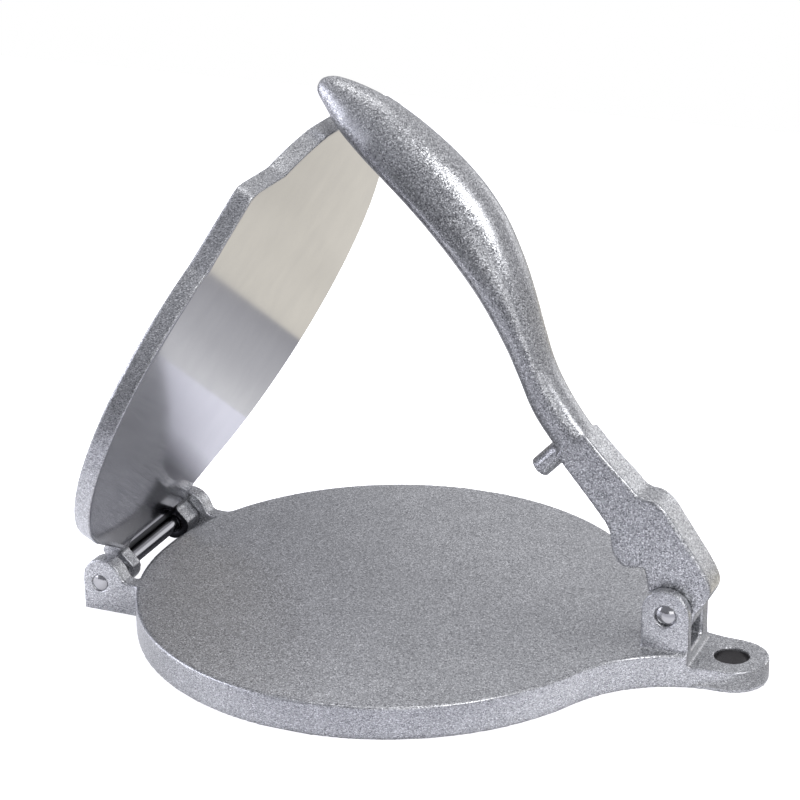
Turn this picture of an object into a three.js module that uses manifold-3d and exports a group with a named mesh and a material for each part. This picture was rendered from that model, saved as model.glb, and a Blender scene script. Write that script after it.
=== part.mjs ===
// Dumpling wrapper press: a round cast base, a round hinged lid and a cam lever that squeezes them together.
// Millimetres, +Z up. The origin is the centre of the base plate's underside, where it stands on the table.
// +X runs from the lid hinge to the lever's clevis and the hanging tab, +Y points to the back.
// The rest pose is the lid leaning open with the lever lying on its rim.
import * as THREE from 'three';
import { mergeVertices } from 'three/addons/utils/BufferGeometryUtils.js';
import Module from 'manifold-3d';

const wasm = await Module();
wasm.setup();

const DEG = Math.PI / 180;

// Base plate, neck and hanging tab
const PLATE_RADIUS = 82.5;
const PLATE_HEIGHT = 10.9;
const TAB_HEIGHT = 7.1;
const TAB_CENTRE_X = 112.9;
const TAB_RADIUS = 11.54;
const TAB_HOLE_RADIUS = 5.46;
const NECK_BACK_SHIFT = 3.9;
const NECK_END_X = 102.5;
const CAST_EDGE = 0.9;
const EAR_EDGE = 0.7;

// Hollow underside of the base
const SKIN_THICKNESS = 4.6;
const RIM_WALL = 4.5;
const RIB_THICKNESS = 3.2;
const RIB_COUNT = 3;
const HUB_RADIUS = 11;

// Lid hinge on the left
const HINGE_X = -90;
const HINGE_Z = 9.7;
const HINGE_PIN_RADIUS = 2.65;
const HINGE_HOLE_RADIUS = 3;
const HINGE_EAR_LEFT = -96;
const HINGE_EAR_RADIUS = 7;
const HINGE_EAR_CENTRE_Z = 11.1;
const HINGE_EAR_WEB_X = -70;
const FRONT_EAR_Y = [-31.2, -25.4];
const BACK_EAR_Y = [28.5, 34.3];
const BACK_WEB_DROP = 2.4;
const HINGE_PIN_INSET = 0.4;

// Lid
const LID_RADIUS = 80.7;
const LID_CENTRE_X = -0.5;
const LID_FACE_Z = 11.25;
const LID_THICKNESS = 6.2;
const LID_OPEN_ANGLE = 62.96;
const LID_RIM_BAND = 8.5;
const LID_BACK_DEPTH = 2;
const LID_SPINE_WIDTH = 30;
const LID_TOE_X = 79.5;
const LUG_SIDE_X = 72.5;
const LUG_TIP_Y = 54.6;
const LUG_CORNER_RADIUS = 3;
const LUG_START_X = 47.5;
const HEEL_FLARE = [-82.8, 19];
const HEEL_FLARE_START_X = -66;
const HEEL_BAR_X = -84;
const HEEL_BAR_Y = [-19, 28.2];
const HEEL_RECESS = 0.6;
const HEEL_ROOT_X = -66;
const ARM_RADIUS = 5.8;
const ARM_FLAT = 5;
const ARM_FLAT_TILT = 18;
const FRONT_ARM_Y = [-18.5, -13.5];
const BACK_ARM_Y = [19.7, 28.2];

// Clevis and pivot of the lever
const PIVOT_X = 94.9;
const PIVOT_Z = 22.4;
const PIVOT_PIN_RADIUS = 3.4;
const PIVOT_HOLE_RADIUS = 3.7;
const CLEVIS_HALF_WIDTH = 7.6;
const CLEVIS_CENTRE_Z = 23.2;
const FRONT_CHEEK_Y = [-12.5, -8.6];
const BACK_CHEEK_Y = [3.2, 8.9];
const PIVOT_PIN_INSET = 0.3;
const PIN_DOME = 0.5;

// Lever
const LEVER_MIDDLE_Y = -2.7;
const LEVER_HALF_THICKNESS = 5.6;
const LEVER_BOSS_RADIUS = 8.1;
const STUD_RADIUS = 3.4;
const STUD_LENGTH = 6.2;
const STUD_ROOT = [-39.6, 43.2];
const STUD_ANGLE = 226;
const STUD_SINK = 6;

const coated = (name) => {
  const material = new THREE.MeshStandardMaterial({ color: 0x8f9196, roughness: 0.45, metalness: 0.6 });
  material.name = name;
  return material;
};

const steel = () => {
  const material = new THREE.MeshStandardMaterial({ color: 0xc3c5c8, roughness: 0.28, metalness: 1 });
  material.name = 'steel';
  return material;
};

function toSolid(geometry) {
  const bare = geometry.clone();
  bare.deleteAttribute('normal');
  bare.deleteAttribute('uv');
  const merged = mergeVertices(bare, 1e-4);
  const vertProperties = new Float32Array(merged.attributes.position.array);
  const triVerts = new Uint32Array(merged.index.array);
  return new wasm.Manifold(new wasm.Mesh({ numProp: 3, vertProperties, triVerts }));
}

function toGeometry(solid) {
  const mesh = solid.getMesh();
  const geometry = new THREE.BufferGeometry();
  geometry.setAttribute('position', new THREE.Float32BufferAttribute(mesh.vertProperties, 3));
  geometry.setIndex(new THREE.Uint32BufferAttribute(mesh.triVerts, 1));
  const flat = geometry.toNonIndexed();
  flat.computeVertexNormals();
  return flat;
}

// A flat casting slab from z = 0 up to its height, its edges broken by a small round.
function slab(shape, height, edge, curveSegments = 24) {
  const geometry = new THREE.ExtrudeGeometry(shape, {
    depth: height - 2 * edge,
    bevelEnabled: edge > 0,
    bevelThickness: edge,
    bevelSize: edge,
    bevelOffset: -edge,
    bevelSegments: 1,
    curveSegments,
  });
  geometry.translate(0, 0, edge);
  return geometry;
}

// A slab drawn in the XZ plane that spans the two y values.
function upright(shape, [fromY, toY], edge, curveSegments = 12) {
  const geometry = slab(shape, toY - fromY, edge, curveSegments);
  geometry.rotateX(Math.PI / 2);
  geometry.translate(0, toY, 0);
  return geometry;
}

function roundZ(radius, fromZ, toZ, x = 0, y = 0, segments = 96) {
  const geometry = new THREE.CylinderGeometry(radius, radius, toZ - fromZ, segments);
  geometry.rotateX(Math.PI / 2);
  geometry.translate(x, y, (fromZ + toZ) / 2);
  return geometry;
}

function roundY(radius, fromY, toY, x, z, segments = 32) {
  const geometry = new THREE.CylinderGeometry(radius, radius, toY - fromY, segments);
  geometry.translate(x, (fromY + toY) / 2, z);
  return geometry;
}

function block([x0, x1], [y0, y1], [z0, z1]) {
  const geometry = new THREE.BoxGeometry(x1 - x0, y1 - y0, z1 - z0);
  geometry.translate((x0 + x1) / 2, (y0 + y1) / 2, (z0 + z1) / 2);
  return geometry;
}

function joined(geometries) {
  return geometries.map(toSolid).reduce((whole, piece) => whole.add(piece));
}

// The concave fillet that leads from the disc to a straight side at the given distance from the X axis.
function neckFillet(side) {
  const reach = TAB_CENTRE_X ** 2 + side ** 2 - PLATE_RADIUS ** 2;
  const radius = reach / (2 * (PLATE_RADIUS - side));
  const centreY = side + radius;
  return { radius, centreY, meet: Math.atan2(centreY, TAB_CENTRE_X) };
}

// Outline of the plate: the disc, a concave fillet on both sides of the neck, and the round end of the tab.
function plateOutline(backSide) {
  const front = neckFillet(TAB_RADIUS);
  const back = neckFillet(backSide);
  const endRadius = (TAB_RADIUS + backSide) / 2;
  const endY = (backSide - TAB_RADIUS) / 2;
  const shape = new THREE.Shape();
  shape.absarc(0, 0, PLATE_RADIUS, back.meet, 2 * Math.PI - front.meet, false);
  shape.absarc(TAB_CENTRE_X, -front.centreY, front.radius, Math.PI - front.meet, Math.PI / 2, true);
  shape.absarc(TAB_CENTRE_X, endY, endRadius, -Math.PI / 2, Math.PI / 2, false);
  shape.absarc(TAB_CENTRE_X, back.centreY, back.radius, -Math.PI / 2, -Math.PI + back.meet, true);
  return shape;
}

function hingeEarOutline(webTop) {
  const shape = new THREE.Shape();
  const rightX = HINGE_EAR_LEFT + 2 * HINGE_EAR_RADIUS;
  shape.moveTo(HINGE_EAR_WEB_X, -EAR_EDGE);
  shape.lineTo(HINGE_EAR_WEB_X, webTop);
  shape.lineTo(rightX, webTop);
  shape.absarc(rightX - HINGE_EAR_RADIUS, HINGE_EAR_CENTRE_Z, HINGE_EAR_RADIUS, 0, Math.PI, false);
  shape.lineTo(HINGE_EAR_LEFT, -EAR_EDGE);
  return shape;
}

function clevisOutline() {
  const shape = new THREE.Shape();
  const foot = PLATE_HEIGHT - 3;
  shape.moveTo(PIVOT_X - CLEVIS_HALF_WIDTH, foot);
  shape.lineTo(PIVOT_X + CLEVIS_HALF_WIDTH, foot);
  shape.absarc(PIVOT_X, CLEVIS_CENTRE_Z, CLEVIS_HALF_WIDTH, 0, Math.PI, false);
  shape.lineTo(PIVOT_X - CLEVIS_HALF_WIDTH, foot);
  return shape;
}

// The hollow below the plate leaves a rim wall, a hub and crossing ribs.
function undersideHollow() {
  const roof = PLATE_HEIGHT - SKIN_THICKNESS;
  const bore = PLATE_RADIUS - RIM_WALL;
  let hollow = toSolid(roundZ(bore, -1, roof));
  hollow = hollow.subtract(toSolid(roundZ(HUB_RADIUS, -2, roof + 1, 0, 0, 32)));
  for (let i = 0; i < RIB_COUNT; i += 1) {
    const rib = block([-PLATE_RADIUS, PLATE_RADIUS], [-RIB_THICKNESS / 2, RIB_THICKNESS / 2], [-2, roof + 1]);
    rib.rotateZ((30 + (i * 180) / RIB_COUNT) * DEG);
    hollow = hollow.subtract(toSolid(rib));
  }
  return hollow;
}

function baseCasting() {
  const low = toSolid(slab(plateOutline(TAB_RADIUS), TAB_HEIGHT, CAST_EDGE));
  const raised = slab(plateOutline(TAB_RADIUS - NECK_BACK_SHIFT), PLATE_HEIGHT, CAST_EDGE);
  const cut = block([-200, NECK_END_X], [-100, 100], [-1, 20]);
  const high = toSolid(raised).intersect(toSolid(cut));
  let body = low.add(high).subtract(undersideHollow());
  const frontEar = upright(hingeEarOutline(PLATE_HEIGHT), FRONT_EAR_Y, EAR_EDGE);
  const backEar = upright(hingeEarOutline(PLATE_HEIGHT - BACK_WEB_DROP), BACK_EAR_Y, EAR_EDGE);
  body = body.add(toSolid(frontEar)).add(toSolid(backEar));
  for (const span of [FRONT_CHEEK_Y, BACK_CHEEK_Y]) {
    body = body.add(toSolid(upright(clevisOutline(), span, EAR_EDGE)));
  }
  body = body.subtract(toSolid(block([-200, 200], [-200, 200], [-10, 0])));
  const hingeBore = roundY(HINGE_HOLE_RADIUS, FRONT_EAR_Y[0] - 1, BACK_EAR_Y[1] + 1, HINGE_X, HINGE_Z);
  const pivotBore = roundY(PIVOT_HOLE_RADIUS, FRONT_CHEEK_Y[0] - 1, BACK_CHEEK_Y[1] + 1, PIVOT_X, PIVOT_Z);
  const tabBore = roundZ(TAB_HOLE_RADIUS, -1, PLATE_HEIGHT + 1, TAB_CENTRE_X, 0, 32);
  body = body.subtract(toSolid(hingeBore)).subtract(toSolid(pivotBore)).subtract(toSolid(tabBore));
  return toGeometry(body);
}

// Outline of the lid: the disc, a finger lug at each side near its free end, a short flat at the toe where
// the lever bears, and a flare at the hinge.
function lidOutline() {
  const shape = new THREE.Shape();
  const angleAt = (x) => Math.acos((x - LID_CENTRE_X) / LID_RADIUS);
  const inner = angleAt(LUG_SIDE_X);
  const outer = angleAt(LUG_START_X);
  const heel = angleAt(HEEL_FLARE_START_X);
  const toe = angleAt(LID_TOE_X);
  const slant = new THREE.Vector2(LUG_SIDE_X, LUG_TIP_Y);
  const start = new THREE.Vector2(LUG_START_X, LID_RADIUS * Math.sin(outer));
  const along = slant.clone().sub(start).normalize().multiplyScalar(LUG_CORNER_RADIUS);
  shape.absarc(LID_CENTRE_X, 0, LID_RADIUS, outer, heel, false);
  shape.lineTo(HEEL_FLARE[0], HEEL_FLARE[1]);
  shape.lineTo(HEEL_FLARE[0], -HEEL_FLARE[1]);
  shape.absarc(LID_CENTRE_X, 0, LID_RADIUS, 2 * Math.PI - heel, 2 * Math.PI - outer, false);
  shape.lineTo(slant.x - along.x, -slant.y + along.y);
  shape.quadraticCurveTo(slant.x, -slant.y, slant.x, -slant.y + LUG_CORNER_RADIUS);
  shape.absarc(LID_CENTRE_X, 0, LID_RADIUS, -inner, -toe, false);
  shape.absarc(LID_CENTRE_X, 0, LID_RADIUS, toe, inner, false);
  shape.lineTo(slant.x, slant.y - LUG_CORNER_RADIUS);
  shape.quadraticCurveTo(slant.x, slant.y, slant.x - along.x, slant.y - along.y);
  return shape;
}

// Outline of a hinge arm in the XZ plane: round about the pin, flat towards the plate, rising into the bar.
function armOutline() {
  const shape = new THREE.Shape();
  const top = LID_FACE_Z + LID_THICKNESS - 0.6;
  const tilt = ARM_FLAT_TILT * DEG;
  const half = Math.acos(ARM_FLAT / ARM_RADIUS);
  const flatFrom = -tilt - half;
  const flatTo = -tilt + half;
  const rootX = HEEL_BAR_X + 8;
  shape.moveTo(rootX, LID_FACE_Z + HEEL_RECESS + 0.4);
  shape.lineTo(rootX, top);
  shape.lineTo(HEEL_BAR_X + 1, top);
  shape.absarc(HINGE_X, HINGE_Z, ARM_RADIUS, 115 * DEG, 2 * Math.PI + flatFrom, false);
  shape.lineTo(HINGE_X + ARM_RADIUS * Math.cos(flatTo), HINGE_Z + ARM_RADIUS * Math.sin(flatTo));
  return shape;
}

function lidCasting() {
  const edge = CAST_EDGE;
  const plate = slab(lidOutline(), LID_THICKNESS, edge);
  plate.translate(0, 0, LID_FACE_Z);
  let body = toSolid(plate);
  const top = LID_FACE_Z + LID_THICKNESS;
  const floor = top - LID_BACK_DEPTH;
  const fieldRadius = LID_RADIUS - LID_RIM_BAND;
  const spine = block([-LID_RADIUS, LID_RADIUS], [-LID_SPINE_WIDTH / 2, LID_SPINE_WIDTH / 2], [0, 40]);
  const field = toSolid(roundZ(fieldRadius, floor, top + 1)).subtract(toSolid(spine));
  body = body.subtract(field);
  const bar = block([HEEL_BAR_X, HEEL_ROOT_X], HEEL_BAR_Y, [LID_FACE_Z + HEEL_RECESS, top - 0.3]);
  body = body.add(toSolid(bar));
  for (const span of [FRONT_ARM_Y, BACK_ARM_Y]) {
    body = body.add(toSolid(upright(armOutline(), span, 0.5)));
  }
  const bore = roundY(HINGE_HOLE_RADIUS, HEEL_BAR_Y[0] - 1, HEEL_BAR_Y[1] + 1, HINGE_X, HINGE_Z);
  body = body.subtract(toSolid(bore));
  const geometry = toGeometry(body);
  geometry.translate(-HINGE_X, 0, -HINGE_Z);
  return geometry;
}

// The grip and shank of the lever as seen from the side, measured from the pivot: the line along its
// back, the line along its belly, and how wide it is between them. The four lists share their stations.
const BACK_LINE = [
  [-115.2, 153.6], [-113.6, 155], [-109.4, 155.5], [-101, 153.3], [-90.3, 148.7], [-80.4, 142.3],
  [-71.4, 135.2], [-63, 127], [-55.8, 117.2], [-50.4, 105.6], [-46.6, 95.1], [-43.4, 84],
  [-39.8, 73.2], [-34.9, 64.2], [-29.1, 55.8], [-22.2, 47.7],
];
const BELLY_LINE = [
  [-115.8, 151.4], [-115.6, 150], [-113.1, 146.7], [-107.2, 139], [-99.4, 131.6], [-91.2, 124.6],
  [-83.6, 117.6], [-76.6, 110.2], [-70.2, 102.5], [-64, 94.3], [-58.6, 85.4], [-53.7, 76],
  [-50.2, 68.2], [-45.7, 57.8], [-39.2, 48.5], [-31.9, 39.6],
];
const HALF_WIDTHS = [0.8, 2.2, 4.4, 7.4, 9.6, 10.8, 11.3, 11.2, 10.6, 9.8, 8.6, 7.6, 6.8, 6.1, 5.7, 5.4];
const SQUARENESS = [2.1, 2.1, 2.1, 2.1, 2.1, 2.1, 2.1, 2.1, 2.2, 2.3, 2.6, 3.1, 3.6, 4.2, 4.6, 5];
const BELLY_SHARE = [0.45, 0.42, 0.38, 0.33, 0.31, 0.29, 0.29, 0.29, 0.31, 0.37, 0.42, 0.5, 0.5, 0.5, 0.5, 0.5];

// A closed skin over the cross-sections, each one an oval that grows squarer towards the shank.
function gripGeometry(rings = 34, around = 20) {
  const last = HALF_WIDTHS.length - 1;
  const toCurve = (points) => new THREE.SplineCurve(points.map(([x, z]) => new THREE.Vector2(x, z)));
  const back = toCurve(BACK_LINE);
  const belly = toCurve(BELLY_LINE);
  const blend = (list, t) => {
    const at = Math.min(t * last, last - 1e-9);
    const i = Math.floor(at);
    return THREE.MathUtils.lerp(list[i], list[i + 1], at - i);
  };
  const positions = [];
  const index = [];
  for (let ring = 0; ring <= rings; ring += 1) {
    const t = ring / rings;
    const crown = back.getPoint(t);
    const keel = belly.getPoint(t);
    const share = blend(BELLY_SHARE, t);
    const middle = keel.clone().lerp(crown, share);
    const power = 2 / blend(SQUARENESS, t);
    const half = blend(HALF_WIDTHS, t);
    for (let k = 0; k < around; k += 1) {
      const turn = (k / around) * 2 * Math.PI;
      const side = Math.sign(Math.cos(turn)) * Math.abs(Math.cos(turn)) ** power;
      const rise = Math.abs(Math.sin(turn)) ** power;
      const target = Math.sin(turn) >= 0 ? crown : keel;
      const point = middle.clone().lerp(target, rise);
      positions.push(point.x, LEVER_MIDDLE_Y + half * side, point.y);
    }
  }
  const tip = back.getPoint(0).lerp(belly.getPoint(0), 0.5);
  const root = back.getPoint(1).lerp(belly.getPoint(1), 0.5);
  positions.push(tip.x, LEVER_MIDDLE_Y, tip.y, root.x, LEVER_MIDDLE_Y, root.y);
  const tipIndex = (rings + 1) * around;
  for (let k = 0; k < around; k += 1) {
    const next = (k + 1) % around;
    index.push(tipIndex, next, k);
    index.push(tipIndex + 1, rings * around + k, rings * around + next);
    for (let ring = 0; ring < rings; ring += 1) {
      const a = ring * around + k;
      const b = ring * around + next;
      const c = a + around;
      const d = b + around;
      index.push(a, b, c, b, d, c);
    }
  }
  const geometry = new THREE.BufferGeometry();
  geometry.setAttribute('position', new THREE.Float32BufferAttribute(positions, 3));
  geometry.setAttribute('uv', new THREE.Float32BufferAttribute(new Array((positions.length / 3) * 2).fill(0), 2));
  geometry.setIndex(index);
  geometry.computeVertexNormals();
  return geometry;
}

// The flat-sided foot of the lever: shoulder, heel, pivot boss, notch and cam nose, measured from the pivot.
function footOutline() {
  const shape = new THREE.Shape();
  shape.moveTo(-27.5, 53.6);
  shape.splineThru([
    new THREE.Vector2(-22.2, 47.7),
    new THREE.Vector2(-14.4, 40.2),
    new THREE.Vector2(-10.4, 36.4),
    new THREE.Vector2(-5.2, 35.3),
    new THREE.Vector2(-1.4, 32.2),
  ]);
  shape.lineTo(9, 17.1);
  shape.splineThru([
    new THREE.Vector2(11.5, 12.9),
    new THREE.Vector2(12.9, 9.4),
    new THREE.Vector2(12.5, 6.5),
    new THREE.Vector2(10.6, 3.2),
    new THREE.Vector2(8.5, 0.6),
  ]);
  shape.absarc(0, 0, LEVER_BOSS_RADIUS, 0, -Math.PI - 36 * DEG, true);
  shape.lineTo(-7.8, 11.2);
  shape.lineTo(-8.6, 13.1);
  shape.lineTo(-12.8, 12.2);
  shape.splineThru([
    new THREE.Vector2(-15, 12.5),
    new THREE.Vector2(-17, 14.2),
    new THREE.Vector2(-18.5, 17),
    new THREE.Vector2(-19, 20),
    new THREE.Vector2(-19.4, 23),
    new THREE.Vector2(-20.8, 26),
  ]);
  shape.lineTo(-26, 32.6);
  shape.lineTo(-37.2, 46);
  return shape;
}

function leverCasting() {
  const sides = [LEVER_MIDDLE_Y - LEVER_HALF_THICKNESS, LEVER_MIDDLE_Y + LEVER_HALF_THICKNESS];
  const foot = upright(footOutline(), sides, 0.9, 4);
  const stud = roundZ(STUD_RADIUS, -STUD_SINK, STUD_LENGTH, 0, 0, 24);
  stud.rotateY((90 - STUD_ANGLE) * DEG);
  stud.translate(STUD_ROOT[0], LEVER_MIDDLE_Y, STUD_ROOT[1]);
  const bore = roundY(PIVOT_HOLE_RADIUS, sides[0] - 1, sides[1] + 1, 0, 0);
  const body = joined([gripGeometry(), foot, stud]).subtract(toSolid(bore));
  return toGeometry(body);
}

// A plain turned pin along Y about its own centre, with slightly domed ends.
function pin(radius, length, dome) {
  const half = length / 2;
  const profile = [
    new THREE.Vector2(0, -half),
    new THREE.Vector2(radius * 0.55, -half + dome * 0.3),
    new THREE.Vector2(radius, -half + dome),
    new THREE.Vector2(radius, half - dome),
    new THREE.Vector2(radius * 0.55, half - dome * 0.3),
    new THREE.Vector2(0, half),
  ];
  return new THREE.LatheGeometry(profile, 32);
}

function named(name, geometry, material, position) {
  const mesh = new THREE.Mesh(geometry, material);
  mesh.name = name;
  mesh.position.set(...position);
  return mesh;
}

const press = new THREE.Group();
press.name = 'dumpling_press';
press.add(named('base_casting', baseCasting(), coated('coated_base'), [0, 0, 0]));

const hingePinFrom = FRONT_EAR_Y[0] + HINGE_PIN_INSET;
const hingePinTo = BACK_EAR_Y[1] - HINGE_PIN_INSET;
const hingePin = pin(HINGE_PIN_RADIUS, hingePinTo - hingePinFrom, 0.2);
const steelMaterial = steel();
press.add(named('lid_hinge_pin', hingePin, steelMaterial, [HINGE_X, (hingePinFrom + hingePinTo) / 2, HINGE_Z]));

const lid = named('lid_casting', lidCasting(), coated('coated_lid'), [HINGE_X, 0, HINGE_Z]);
lid.rotation.y = -LID_OPEN_ANGLE * DEG;
press.add(lid);

const pivotPinFrom = FRONT_CHEEK_Y[0] + PIVOT_PIN_INSET;
const pivotPinTo = BACK_CHEEK_Y[1] - PIVOT_PIN_INSET;
const pivotPin = pin(PIVOT_PIN_RADIUS, pivotPinTo - pivotPinFrom, PIN_DOME);
press.add(named('handle_pivot_pin', pivotPin, steelMaterial, [PIVOT_X, (pivotPinFrom + pivotPinTo) / 2, PIVOT_Z]));
press.add(named('handle_casting', leverCasting(), coated('coated_handle'), [PIVOT_X, 0, PIVOT_Z]));

export default press;
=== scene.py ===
"""Dumpling wrapper press: castings, pins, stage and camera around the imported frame.

Meshes are drawn in millimetres and turned to metres at the end. +X runs from the lid hinge to the
hanging tab, +Y to the back and +Z up, and the table is at z = 0.
"""
import math

import bmesh
import bpy
from mathutils import Matrix, Vector


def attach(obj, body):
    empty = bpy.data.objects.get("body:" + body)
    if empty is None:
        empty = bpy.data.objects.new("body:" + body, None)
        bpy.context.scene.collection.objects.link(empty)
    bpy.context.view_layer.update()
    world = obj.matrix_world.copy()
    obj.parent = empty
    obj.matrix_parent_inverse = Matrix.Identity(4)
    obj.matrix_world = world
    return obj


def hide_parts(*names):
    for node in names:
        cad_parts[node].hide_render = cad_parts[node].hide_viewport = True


bl_info = {
    "name": "Dumpling wrapper press",
    "version": (1, 0, 0),
    "blender": (4, 5, 0),
    "location": "View3D > Sidebar > Press",
    "description": "Builds a cast aluminium wrapper press: base, hinged lid, cam lever and two pins",
    "category": "Object",
}

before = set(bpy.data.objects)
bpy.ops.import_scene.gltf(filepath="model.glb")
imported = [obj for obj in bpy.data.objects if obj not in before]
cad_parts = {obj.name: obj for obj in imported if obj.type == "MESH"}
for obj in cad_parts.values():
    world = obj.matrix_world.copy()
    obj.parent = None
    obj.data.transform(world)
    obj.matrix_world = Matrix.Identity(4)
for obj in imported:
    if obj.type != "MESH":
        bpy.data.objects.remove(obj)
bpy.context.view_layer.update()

MM = 0.001
MOST_TRIANGLES = 180000  # in one casting
CUT = 1.0  # how far a cutting tool runs past the solid that it cuts, mm

# Base casting, mm
PLATE_RADIUS = 82.5
PLATE_HEIGHT = 10.9
TAB_HEIGHT = 7.1
TAB_CENTRE_X = 112.9
TAB_RADIUS = 11.54
TAB_HOLE_RADIUS = 5.46
NECK_BACK_SHIFT = 3.9
NECK_END_X = 102.5
NECK_CUT = ((NECK_END_X, 200), (-100, 100), (-1, 20))
SKIN_THICKNESS = 4.6
RIM_WALL = 4.5
HUB_RADIUS = 11.0
RIB_OVERLAP = 2.0
RIB_SINK = 1.0
RIB_FIRST_ANGLE = 30

# Lid hinge, mm
HINGE_X = -90.0
HINGE_Z = 9.7
HINGE_PIN_RADIUS = 2.65
HINGE_PIN_PROUD = 0.2
HINGE_PIN_DOME = 2.6
HINGE_HOLE_RADIUS = 2.7
LID_BORE_RADIUS = 3.0
HINGE_EAR_LEFT = -96.0
HINGE_EAR_RADIUS = 7.0
HINGE_EAR_CENTRE_Z = 11.1
HINGE_EAR_START_ANGLE = 12
HINGE_EAR_FILLET = [(2.2, 0), (0.7, 0.6), (0, 2)]
HINGE_EAR_WEB_X = -70.0
FRONT_EAR_Y = (-31.2, -25.4)
BACK_EAR_Y = (28.5, 34.3)
BACK_WEB_DROP = 0.4

# Lid, mm, drawn closed
LID_RADIUS = 80.7
LID_CENTRE_X = -0.5
LID_FACE_Z = 11.25
LID_THICKNESS = 6.2
LID_OPEN_ANGLE = 62.96
LID_RIM_BAND = 8.5
LID_BACK_DEPTH = 2.0
LID_TOE_X = 79.5
SPINE_WIDTH = 30.0
SPINE_INSET = 4
SPINE_DEPTH = 4
LUG_SIDE_X = 72.5
LUG_TIP_Y = 54.6
LUG_CORNER_RADIUS = 3.0
LUG_CORNER_STEPS = 8
LUG_START_X = 47.5
HEEL_FLARE = (-82.8, 19.0)
HEEL_FLARE_START_X = -66.0
HEEL_BAR_X = -84.0
HEEL_BAR_END_X = -87.8
HEEL_BAR_Y = (-19.0, 28.2)
HEEL_BAR_DROP = 0.3
HEEL_ROOT_X = -66.0
HEEL_LIP = [(-87.0, 17.1), (-90.3, 14.6), (-90.3, 12.75), (-87.0, 12.75)]
HEEL_SHADE_HEIGHT = 4.5
FACE_END_X = -82.6
FACE_EDGE = 0.2  # how far up the edge's round the machined face reaches
ARM_RADIUS = 5.8
ARM_FLAT = 5.0
ARM_FLAT_TILT = 18.0
ARM_START_ANGLE = 115
ARM_DROP = 0.6
ARM_FACE_GAP = 0.4
ARM_ROOT = 8
ARM_SHOULDER = 1
ARM_MARGIN = 0.35
FRONT_ARM_Y = (-18.5, -13.5)
BACK_ARM_Y = (19.7, 28.2)

# Clevis and lever pivot, mm
PIVOT_X = 94.9
PIVOT_Z = 22.4
PIVOT_PIN_RADIUS = 3.4
PIVOT_PIN_DOME = 1.8
PIVOT_HOLE_RADIUS = 3.45
LEVER_BORE_RADIUS = 3.75
CLEVIS_HALF_WIDTH = 7.6
CLEVIS_CENTRE_Z = 23.2
CLEVIS_SINK = 3
FRONT_CHEEK_Y = (-12.1, -8.6)
BACK_CHEEK_Y = (3.2, 8.9)
DOME_SHARES = (0.02, 0.2, 0.35, 0.5, 0.62, 0.72, 0.8, 0.87, 0.92, 0.96, 0.99, 1.0)

# Lever, mm, its lines measured from the pivot
LEVER_MIDDLE_Y = -2.7
LEVER_HALF_THICKNESS = 5.6
LEVER_BOSS_RADIUS = 8.1
STUD_RADIUS = 3.4
STUD_LENGTH = 6.2
STUD_ROOT = (-39.6, 43.2)
STUD_ANGLE = 226.0
STUD_SINK = 6.0
SHOULDER_LINE = [(-27.5, 53.6), (-22.2, 47.7), (-14.4, 40.2), (-10.4, 36.4), (-5.2, 35.3), (-1.4, 32.2)]
HEEL_LINE = [(9, 17.1), (11.5, 12.9), (12.9, 9.4), (12.5, 6.5), (10.6, 3.2), (8.5, 0.6)]
NOTCH_LINE = [(-7.8, 11.2), (-8.6, 13.1)]
NOSE_LINE = [(-12.8, 12.2), (-15, 12.5), (-17, 14.2), (-18.5, 17), (-19, 20), (-19.4, 23), (-20.8, 26)]
NOSE_END = [(-26, 32.6), (-37.2, 46)]
BACK_LINE = [
    (-115.2, 153.6), (-113.6, 155), (-109.4, 155.5), (-101, 153.3), (-90.3, 148.7), (-80.4, 142.3),
    (-71.4, 135.2), (-63, 127), (-55.8, 117.2), (-50.4, 105.6), (-46.6, 95.1), (-43.4, 84),
    (-39.8, 73.2), (-34.9, 64.2), (-29.1, 55.8), (-22.2, 47.7),
]
BELLY_LINE = [
    (-115.8, 151.4), (-115.6, 150), (-113.1, 146.7), (-107.2, 139), (-99.4, 131.6), (-91.2, 124.6),
    (-83.6, 117.6), (-76.6, 110.2), (-70.2, 102.5), (-64, 94.3), (-58.6, 85.4), (-53.7, 76),
    (-50.2, 68.2), (-45.7, 57.8), (-39.2, 48.5), (-31.9, 39.6),
]
HALF_WIDTHS = [0.8, 2.2, 4.4, 7.4, 9.6, 10.8, 11.3, 11.2, 10.6, 9.8, 8.6, 7.6, 6.8, 6.1, 5.7, 5.4]
SQUARENESS = [2.1] * 9 + [2.2] * 3 + [2.3, 2.4, 2.6, 2.9]
BELLY_SHARE = [0.45, 0.42, 0.38, 0.33, 0.31, 0.29, 0.29, 0.29, 0.31, 0.37, 0.42] + [0.5] * 5
GRIP_STATIONS = 160
GRIP_AROUND = 96

# Finishes, with pattern sizes in mm
COAT_METALLIC = 0.75
COAT_SPREAD = 0.06  # how far the roughness strays from flake to flake
COAT_CLOUD = 12  # broad, faint clouds from the spraying
PEEL_WIDTH = 1.3  # orange peel of the baked resin
PEEL_HEIGHT = 0.05
PEEL_STRENGTH = 0.04
FLAKE_SQUASH = 2.0  # flakes on the base and the lid are half as high as wide
FLAKE_TILT = 0.1
LEVER_TILT = 0.17
CLEAR_ROUGHNESS = 0.17
LATHE_RING = 0.5  # real turning marks are about 0.15 mm apart; drawn coarser so that they show
LATHE_DEPTH = 0.004
FACE_CLOUD = 14
DRAWN_LINE = 0.4  # real drawing lines are finer; drawn coarser so that they show
DRAWN_STRETCH = 0.06
DRAWN_DEPTH = 0.01
STEEL_ROUGHNESS = (0.1, 0.2)
PALE_END = (1.5, 1.2)

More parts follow.
